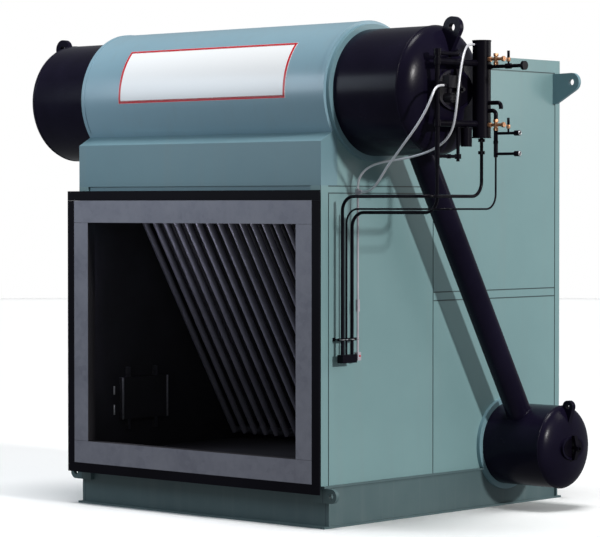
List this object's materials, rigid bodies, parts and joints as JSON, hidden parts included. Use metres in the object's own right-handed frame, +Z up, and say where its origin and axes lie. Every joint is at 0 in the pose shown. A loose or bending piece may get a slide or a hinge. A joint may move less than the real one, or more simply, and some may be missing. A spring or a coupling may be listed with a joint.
{
  "type": "heat recovery steam generator",
  "caption": "Two-drum water-tube boiler that makes steam from hot exhaust gas: an insulated casing on a channel base, with framed gas openings, sloping tubes and level trim on one drum end.",
  "frame": {"origin": "middle of the base frame's footprint, on the ground", "axes": "+X along the drums to the end with the water column, +Y from the gas inlet to the gas outlet, +Z up"},
  "size_m": [4.59, 2.972, 3.6289],
  "materials": {
    "base_paint": "satin enamel",
    "casing_paint": "satin enamel",
    "jacket_paint": "gloss enamel",
    "flange_black": "satin black enamel",
    "liner_metal": "galvanised sheet",
    "drum_black": "satin black enamel",
    "cover_black": "satin black enamel",
    "tube_steel": "mill-dark steel",
    "tube_soot": "soot-dark steel",
    "dog_steel": "plain steel bar",
    "trim_black": "satin black enamel",
    "valve_brass": "cast brass",
    "control_grey": "grey hammered enamel",
    "conduit_pale": "pale enamel",
    "flex_silver": "ribbed flexible metal"
  },
  "bodies": {
    "root": {"base_end_channels": "base_paint", "base_side_beams": "base_paint", "base_cross_beam": "base_paint", "base_lugs": "base_paint", "casing_floor": "casing_paint", "right_wall": "casing_paint", "left_wall": "casing_paint", "access_panel": "casing_paint", "front_header": "casing_paint", "inlet_lintel": "casing_paint", "roof": "casing_paint", "rear_wall": "casing_paint", "steam_drum_collars": "casing_paint", "mud_drum_collars": "casing_paint", "rear_lifting_lugs": "casing_paint", "drum_jacket": "jacket_paint", "inlet_flange": "flange_black", "outlet_flange": "flange_black", "inlet_liner": "liner_metal", "outlet_liner": "liner_metal", "steam_drum_shell": "drum_black", "steam_drum_heads": "drum_black", "mud_drum_shell": "drum_black", "mud_drum_heads": "drum_black", "downcomers": "drum_black", "steam_drum_lugs": "drum_black", "mud_drum_lugs": "drum_black", "steam_manway_rims": "drum_black", "mud_handhole_rims": "drum_black", "steam_manway_covers": "cover_black", "mud_handhole_covers": "cover_black", "front_tube_row": "tube_steel", "rear_tube_row": "tube_soot", "inner_tube_bank": "tube_soot", "panel_dogs": "dog_steel", "water_column": "trim_black", "standpipe": "trim_black", "bridle_pipes": "trim_black", "low_water_cutoff": "trim_black", "gauge_piping": "trim_black", "drain_lines": "trim_black", "drain_manifold": "trim_black", "pipe_clamp": "trim_black", "gauge_valves": "valve_brass", "level_control": "control_grey", "cable_conduit": "conduit_pale", "level_flex": "flex_silver", "column_flex": "flex_silver"}
  },
  "joints": []
}
